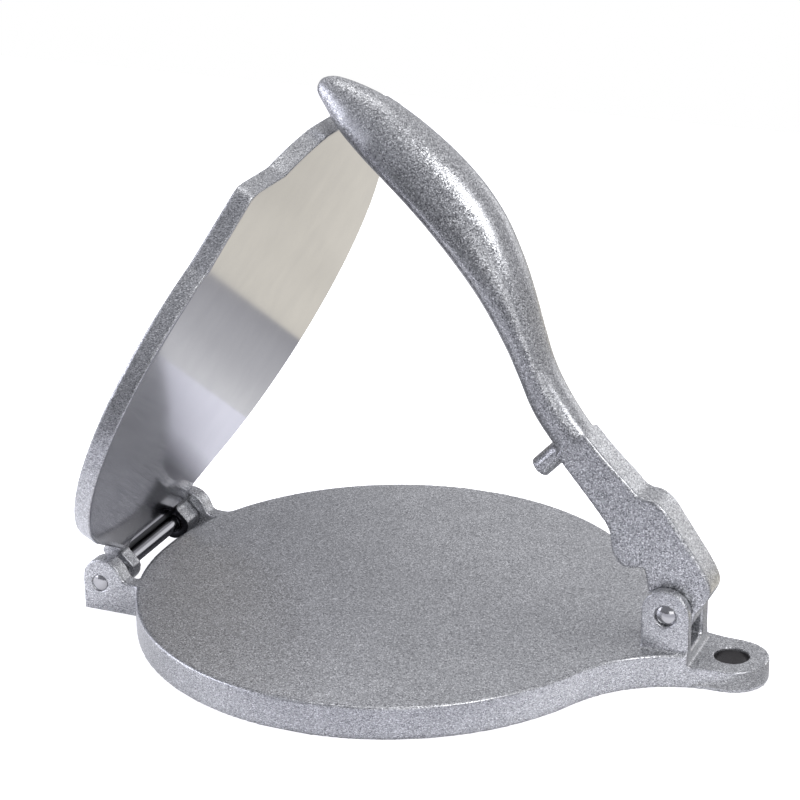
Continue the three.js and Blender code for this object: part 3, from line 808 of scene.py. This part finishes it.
def grip_stations(count):
    """Points along the grip that carry its crown, keel, width and squareness for the loft."""
    def listed(values, t):
        place = min(t * (len(values) - 1), len(values) - 1 - 1e-9)
        i = int(place)
        return values[i] + (values[i + 1] - values[i]) * (place - i)

    rows = []
    for i in range(count):
        t = i / (count - 1)
        crown, keel = spline_point(BACK_LINE, t), spline_point(BELLY_LINE, t)
        power = 2 / listed(SQUARENESS, t)
        rows.append((crown, keel, listed(HALF_WIDTHS, t), power, listed(BELLY_SHARE, t)))
    for end, row in ((0, rows[0]), (len(rows) + 1, rows[-1])):
        middle = tuple((a + b) / 2 for a, b in zip(row[0], row[1]))
        rows.insert(end, (middle, middle, 0.0, row[3], row[4]))
    obj = mesh_object("stations", [(i, 0, 0) for i in range(len(rows))], [])
    columns = list(zip(*rows))
    for name, values in zip(("crown", "keel"), columns[:2]):
        places = [c for x, z in values for c in (PIVOT_X + x, 0.0, PIVOT_Z + z)]
        obj.data.attributes.new(name, "FLOAT_VECTOR", "POINT").data.foreach_set("vector", places)
    for name, values in zip(("half_width", "power", "share"), columns[2:]):
        obj.data.attributes.new(name, "FLOAT", "POINT").data.foreach_set("value", values)
    return obj, len(rows)


def make_lever(sizes, finish):
    """The lever casting: grip and shank lofted over stations, the flat foot and the lift stud."""
    coat = coated_casting(finish, 1.0, LEVER_TILT)
    grip, count = grip_stations(GRIP_STATIONS)
    tree, identifiers = loft_tree(coat)
    grown(grip, tree, identifiers, {
        "Stations": count, "Around": GRIP_AROUND, "Middle y": LEVER_MIDDLE_Y})
    stud = rod((0, 0), STUD_RADIUS, -STUD_SINK, STUD_LENGTH, steps=48)
    turn = Matrix.Rotation(math.radians(90 - STUD_ANGLE), 4, "Y")
    root = Vector((PIVOT_X + STUD_ROOT[0], LEVER_MIDDLE_Y, PIVOT_Z + STUD_ROOT[1]))
    stud.data.transform(Matrix.Translation(root) @ turn)
    lever = cast_skin(gathered("lever", [grip, lever_foot(), stud]), sizes)
    return finish_piece(lever, "press_lever", coat, "handle", "coated_casting", "handle_casting")


# Pins


def domed_pin(name, node, radius, x, z, span, dome, finish):
    """A steel pin along Y between two y, with ends domed to a radius given in pin radii."""
    low, high = span
    profile = [(dome - math.sqrt(dome ** 2 - share ** 2), share) for share in DOME_SHARES]
    rings = [(low + radius * inset, radius * share) for inset, share in profile]
    rings += [(high - radius * inset, radius * share) for inset, share in reversed(profile)]
    steps = 64
    turns = [2 * math.pi * k / steps for k in range(steps)]
    verts = [(x + size * math.cos(t), y, z + size * math.sin(t)) for y, size in rings for t in turns]
    faces = []
    for ring in range(len(rings) - 1):
        for k in range(steps):
            a, b = ring * steps + k, ring * steps + (k + 1) % steps
            faces.append((a, b, b + steps, a + steps))
    faces += [tuple(range(steps)), tuple(range((len(rings) - 1) * steps, len(rings) * steps))]
    pin = shade_smooth(mesh_object(name, verts, faces))
    return finish_piece(pin, name, drawn_steel(finish, low, high), "base", "steel_pin", node)


def make_pins(finish):
    """The long hinge pin and the short pivot pin, both with domed ends."""
    span = (FRONT_EAR_Y[0] - HINGE_PIN_PROUD, BACK_EAR_Y[1] + HINGE_PIN_PROUD)
    domed_pin(
        "hinge_pin", "lid_hinge_pin", HINGE_PIN_RADIUS, HINGE_X, HINGE_Z, span, HINGE_PIN_DOME, finish)
    span = (FRONT_CHEEK_Y[0], BACK_CHEEK_Y[1])
    domed_pin(
        "pivot_pin", "handle_pivot_pin", PIVOT_PIN_RADIUS, PIVOT_X, PIVOT_Z, span, PIVOT_PIN_DOME,
        finish)


# Stage


def matt_table(stage):
    """Matt board that takes the shadow, lifted towards white for the camera; reflections see a painted
    pool of light in front of the press and a painted shadow by the hinge.
    """
    material, tree, place = new_material("matt_white_table")
    path = add_node(tree, "ShaderNodeLightPath").outputs
    mirrored = add_node(tree, MATH, {
        0: path["Is Glossy Ray"], 1: path["Is Transmission Ray"]}, operation="MAXIMUM")
    # Painted light: a patch of table in front of the press glows for reflections only
    depth = add_node(tree, VECTOR_MATH, {
        0: place, 1: POOL_WAY}, operation="DOT_PRODUCT").outputs["Value"]
    pool = add_node(tree, MAP_RANGE, {
        0: depth, 1: POOL_START[0], 2: POOL_START[1], 3: 0.0, 4: MIRROR_GLOW})
    fade = add_node(tree, MAP_RANGE, {0: depth, 1: POOL_END[0], 2: POOL_END[1], 3: 1.0, 4: 0.05})
    patch = add_node(tree, MATH, {0: pool, 1: fade}, operation="MULTIPLY")
    lift = add_node(tree, MATH, {0: mirrored, 1: patch}, operation="MULTIPLY")
    strength = add_node(tree, MATH, {
        0: path["Is Camera Ray"], 1: stage.table_glow, 2: lift}, operation="MULTIPLY_ADD")
    light = add_node(tree, "ShaderNodeEmission", {"Strength": strength})
    # Painted shadow: where reflections see the table near the hinge, its colour is darkened towards
    # black
    near = add_node(tree, VECTOR_MATH, {
        0: place, 1: HINGE_SHADE_PLACE}, operation="DISTANCE").outputs["Value"]
    shade = add_node(tree, MAP_RANGE, {
        0: near, 1: HINGE_SHADE_REACH[0], 2: HINGE_SHADE_REACH[1], 3: 0.7, 4: 0.0})
    shadow = add_node(tree, MATH, {0: mirrored, 1: shade}, operation="MULTIPLY")
    colour = add_node(tree, MIX, {
        0: shadow, 6: stage.table_colour, 7: BLACK}, data_type="RGBA").outputs[2]
    matt = add_node(tree, "ShaderNodeBsdfDiffuse", {"Color": colour})
    both = add_node(tree, "ShaderNodeAddShader", {0: matt, 1: light})
    add_node(tree, "ShaderNodeOutputMaterial", {"Surface": both})
    return material


def warm_card(stage):
    """Glowing cream card behind the press that only reflections see; its grey band where it meets the
    table is painted shade.
    """
    material, tree, _ = new_material("cream_reflection_card")
    place = add_node(tree, COORDINATES).outputs["UV"]
    ahead = add_node(tree, SEPARATE, {0: place}).outputs[1]
    # Painted shade: the grey band between the pale near edge and the cream stands in for shade at the
    # card's foot
    tone = add_node(tree, "ShaderNodeValToRGB", {0: ahead}, stops=(
        (0.0, linear("eaeaec")), (1.0, stage.card_colour), (0.035, linear("cfcfd2")),
        (0.0865, linear("ababaf")), (0.0885, stage.card_colour)))
    cloud = add_node(tree, NOISE, {"Vector": place, "Scale": 7.0, "Detail": 3.0})
    shade = add_node(tree, MAP_RANGE, {0: cloud, 1: 0.3, 2: 0.7, 3: 0.88, 4: 1.1})
    colour = add_node(tree, VECTOR_MATH, {0: tone, 1: shade}, operation="MULTIPLY")
    light = add_node(tree, "ShaderNodeEmission", {"Color": colour, "Strength": 1.0})
    add_node(tree, "ShaderNodeOutputMaterial", {"Surface": light})
    return material


def board(name, corners, material):
    """A flat board of the stage with the given corners, and a map that runs from 0 to 1 on it."""
    mesh = bpy.data.meshes.new(name)
    mesh.from_pydata(corners, [], [tuple(range(len(corners)))])
    layer = mesh.uv_layers.new(name="board")
    for spot, place in zip(layer.data, ((0, 0), (1, 0), (1, 1), (0, 1))):
        spot.uv = place
    mesh.materials.append(material)
    obj = linked_object(name, mesh)
    return obj


def soft_lamp(name, place, width, height, power, colour, hidden_from):
    """A softbox aimed at the press."""
    data = bpy.data.lights.new(name, "AREA")
    data.shape = "RECTANGLE"
    data.size = width
    data.size_y = height
    data.energy = power
    data.color = linear(colour)[:3]
    lamp = linked_object(name, data)
    lamp.location = place
    lamp.rotation_euler = (Vector(LAMP_TARGET) - Vector(place)).to_track_quat("-Z", "Y").to_euler()
    if hidden_from:
        setattr(lamp, hidden_from, False)


def make_room(stage):
    """A grey room, paler behind the press and dim below the table; the camera sees it white."""
    world = bpy.context.scene.world or bpy.data.worlds.new("room")
    bpy.context.scene.world = world
    tree = emptied_tree(world)
    path = add_node(tree, "ShaderNodeLightPath").outputs
    way = add_node(tree, COORDINATES).outputs["Generated"]
    back = add_node(tree, VECTOR_MATH, {0: way, 1: ROOM_WAY}, operation="DOT_PRODUCT")
    share = add_node(tree, MAP_RANGE, {0: back.outputs["Value"], 1: -0.3, 2: 1.2})
    room = add_node(tree, MIX, {
        0: share, 6: stage.room_front, 7: stage.room_back}, data_type="RGBA").outputs[2]
    height = add_node(tree, SEPARATE, {0: way}).outputs[2]
    fall = add_node(tree, MAP_RANGE, {0: height, 1: -0.08, 2: 0.05, 3: 0.4, 4: 1.0})
    dimmed = add_node(tree, VECTOR_MATH, {0: room, 1: fall}, operation="MULTIPLY")
    colour = add_node(tree, MIX, {
        0: path["Is Camera Ray"], 6: dimmed, 7: WHITE}, data_type="RGBA").outputs[2]
    sky = add_node(tree, "ShaderNodeBackground", {"Color": colour, "Strength": 1.0})
    add_node(tree, "ShaderNodeOutputWorld", {"Surface": sky})


def make_camera():
    """The camera at the photograph's viewing angle."""
    data = bpy.data.cameras.new("camera")
    data.lens = CAMERA_LENS
    data.sensor_width = 36
    data.clip_end = 100
    camera = linked_object("camera", data)
    place = Matrix.Translation(CAMERA_PLACE)
    for angle, axis in ((CAMERA_AZIMUTH, "Z"), (90 - CAMERA_ELEVATION, "X"), (CAMERA_ROLL, "Z")):
        place = place @ Matrix.Rotation(math.radians(angle), 4, axis)
    camera.matrix_world = place
    bpy.context.scene.camera = camera


def make_stage(stage):
    """A white table, a grey room, soft lamps and the camera."""
    reach, front = TABLE_REACH, TABLE_FRONT
    board("table", [(-reach, -front, 0), (reach, -front, 0), (reach, reach, 0), (-reach, reach, 0)],
          matt_table(stage))
    left, right, away = Vector(CARD_LEFT), Vector(CARD_RIGHT), Vector(CARD_AWAY)
    card = board("cream_card", [left, right, right + away, left + away], warm_card(stage))
    card.visible_camera = card.visible_diffuse = card.visible_shadow = False
    for name, place, width, height, power, colour, hidden_from in LAMPS:
        soft_lamp(name, place, width, height, power * stage.lamp_level, colour, hidden_from)
    make_room(stage)
    make_camera()
    bpy.context.scene.view_settings.view_transform = "Standard"


# Settings


class CastingSizes(bpy.types.PropertyGroup):
    """How finely the castings are skinned, and the ribs below the base."""

    grain: bpy.props.FloatProperty(
        name="Skin grain", description="Spacing of the casting skin's faces", default=0.5 * MM,
        min=0.3 * MM, unit="LENGTH", precision=5)
    rounds: bpy.props.IntProperty(
        name="Edge rounds", description="Passes that round the edges and corners", default=6, min=0)
    rib_count: bpy.props.IntProperty(
        name="Ribs", description="Crossing ribs below the base", default=3, min=1)
    rib_thickness: bpy.props.FloatProperty(
        name="Rib thickness", description="Thickness of a rib below the base", default=3.2 * MM,
        unit="LENGTH", precision=5)


class FinishLook(bpy.types.PropertyGroup):
    """Colours and textures of the coat, the machined face and the steel."""

    coat_colour: bpy.props.FloatVectorProperty(
        name="Coat", description="The coat between its brightest and darkest flakes",
        subtype="COLOR", size=4, default=linear("acadb0"))
    flake_dark: bpy.props.FloatVectorProperty(
        name="Dark flakes", description="Flakes that face away",
        subtype="COLOR", size=4, default=linear("5d5e62"))
    flake_light: bpy.props.FloatVectorProperty(
        name="Light flakes", description="Flakes that face the light a little",
        subtype="COLOR", size=4, default=linear("d6d7da"))
    flake_bright: bpy.props.FloatVectorProperty(
        name="Bright flakes", description="The few flakes that glint",
        subtype="COLOR", size=4, default=linear("eff0f2"))
    # Painted shade: the dark colour inside the hanging hole stands in for the shade there
    bore_shade_colour: bpy.props.FloatVectorProperty(
        name="Bore", description="Tarnished metal inside the hanging hole",
        subtype="COLOR", size=4, default=linear("484648"))
    # Painted shade: this near-black colour between the lid's hinge arms stands in for the shade there
    heel_shade_colour: bpy.props.FloatVectorProperty(
        name="Heel", description="Dark bare metal between the lid's hinge arms",
        subtype="COLOR", size=4, default=linear("1c1c21"))
    flake_size: bpy.props.FloatProperty(
        name="Flake size", description="Real flakes are about 0.1 mm; drawn coarser so that they show",
        default=0.29 * MM, unit="LENGTH", precision=6)
    coat_roughness: bpy.props.FloatProperty(
        name="Coat roughness", description="Middle roughness of the coat", default=0.33, min=0, max=1,
        subtype="FACTOR")
    lacquer: bpy.props.FloatProperty(
        name="Clear layer", description="Share of clear resin over the flakes", default=0.6, min=0,
        max=1, subtype="FACTOR")
    face_light: bpy.props.FloatVectorProperty(
        name="Face light", description="Lighter clouds of the machined face",
        subtype="COLOR", size=4, default=linear("cfcfd3"))
    face_dark: bpy.props.FloatVectorProperty(
        name="Face dark", description="Darker clouds of the machined face",
        subtype="COLOR", size=4, default=linear("bfbfc5"))
    face_roughness: bpy.props.FloatProperty(
        name="Face roughness", description="Middle roughness of the machined face", default=0.1,
        min=0, max=1, subtype="FACTOR")
    steel_light: bpy.props.FloatVectorProperty(
        name="Steel ends", description="Ground ends of the pins",
        subtype="COLOR", size=4, default=linear("acacae"))
    # Painted shade: the shaft's slightly darker steel stands in for the shade round the rod
    shaded_shaft_steel: bpy.props.FloatVectorProperty(
        name="Steel shaft", description="Drawn skin along the pins",
        subtype="COLOR", size=4, default=linear("a4a4a8"))


class StageLook(bpy.types.PropertyGroup):
    """The table, the room and the lamps."""

    table_colour: bpy.props.FloatVectorProperty(
        name="Table", description="Colour of the table",
        subtype="COLOR", size=4, default=linear("cacad1"))
    table_glow: bpy.props.FloatProperty(
        name="Table glow", description="Lift of the table towards white in the picture",
        default=0.85, min=0, max=1, subtype="FACTOR")
    card_colour: bpy.props.FloatVectorProperty(
        name="Card", description="Cream card that the machined face mirrors",
        subtype="COLOR", size=4, default=linear("ece7db"))
    room_front: bpy.props.FloatVectorProperty(
        name="Room in front", description="Colour of the room behind the camera",
        subtype="COLOR", size=4, default=linear("a0a1a8"))
    room_back: bpy.props.FloatVectorProperty(
        name="Room behind", description="Colour of the room behind the press",
        subtype="COLOR", size=4, default=linear("c8c8cc"))
    lamp_level: bpy.props.FloatProperty(
        name="Lamp level", description="Brightness of all the softboxes together", default=1.0, min=0,
        subtype="FACTOR")


# Operators, one for each piece


class PRESS_OT_base(bpy.types.Operator):
    """Make the base casting with its hinge ears, clevis, tab and ribs"""

    bl_idname = "press.base"
    bl_label = "Base casting"

    def execute(self, context):
        make_base(context.scene.press_sizes, context.scene.press_finish)
        return {"FINISHED"}


class PRESS_OT_lid(bpy.types.Operator):
    """Make the lid casting with its machined face, lugs and hinge arms"""

    bl_idname = "press.lid"
    bl_label = "Lid casting"

    def execute(self, context):
        make_lid(context.scene.press_sizes, context.scene.press_finish)
        return {"FINISHED"}


class PRESS_OT_lever(bpy.types.Operator):
    """Make the lever casting with its grip, stud and cam foot"""

    bl_idname = "press.lever"
    bl_label = "Lever casting"

    def execute(self, context):
        make_lever(context.scene.press_sizes, context.scene.press_finish)
        return {"FINISHED"}


class PRESS_OT_pins(bpy.types.Operator):
    """Make the hinge pin and the pivot pin"""

    bl_idname = "press.pins"
    bl_label = "Steel pins"

    def execute(self, context):
        make_pins(context.scene.press_finish)
        return {"FINISHED"}


class PRESS_OT_stage(bpy.types.Operator):
    """Make the table, the room, the lamps and the camera"""

    bl_idname = "press.stage"
    bl_label = "Stage and camera"

    def execute(self, context):
        make_stage(context.scene.press_stage)
        return {"FINISHED"}


OPERATORS = (PRESS_OT_base, PRESS_OT_lid, PRESS_OT_lever, PRESS_OT_pins, PRESS_OT_stage)


class VIEW3D_PT_press(bpy.types.Panel):
    """Lists the press's settings and pieces in the sidebar"""

    bl_label = "Dumpling wrapper press"
    bl_idname = "VIEW3D_PT_press"
    bl_space_type = "VIEW_3D"
    bl_region_type = "UI"
    bl_category = "Press"

    def draw(self, context):
        layout = self.layout
        for group in (context.scene.press_sizes, context.scene.press_finish, context.scene.press_stage):
            column = layout.column(align=True)
            for name in group.__annotations__:
                column.prop(group, name)
        for operator in OPERATORS:
            layout.operator(operator.bl_idname)


CLASSES = (CastingSizes, FinishLook, StageLook, *OPERATORS, VIEW3D_PT_press)


def register():
    for cls in CLASSES:
        bpy.utils.register_class(cls)
    bpy.types.Scene.press_sizes = bpy.props.PointerProperty(type=CastingSizes)
    bpy.types.Scene.press_finish = bpy.props.PointerProperty(type=FinishLook)
    bpy.types.Scene.press_stage = bpy.props.PointerProperty(type=StageLook)


def unregister():
    for name in ("press_sizes", "press_finish", "press_stage"):
        delattr(bpy.types.Scene, name)
    for cls in reversed(CLASSES):
        bpy.utils.unregister_class(cls)


def main():
    register()
    bpy.ops.press.base()
    bpy.ops.press.lid()
    bpy.ops.press.lever()
    bpy.ops.press.pins()
    bpy.ops.press.stage()


if __name__ == "__main__":
    main()
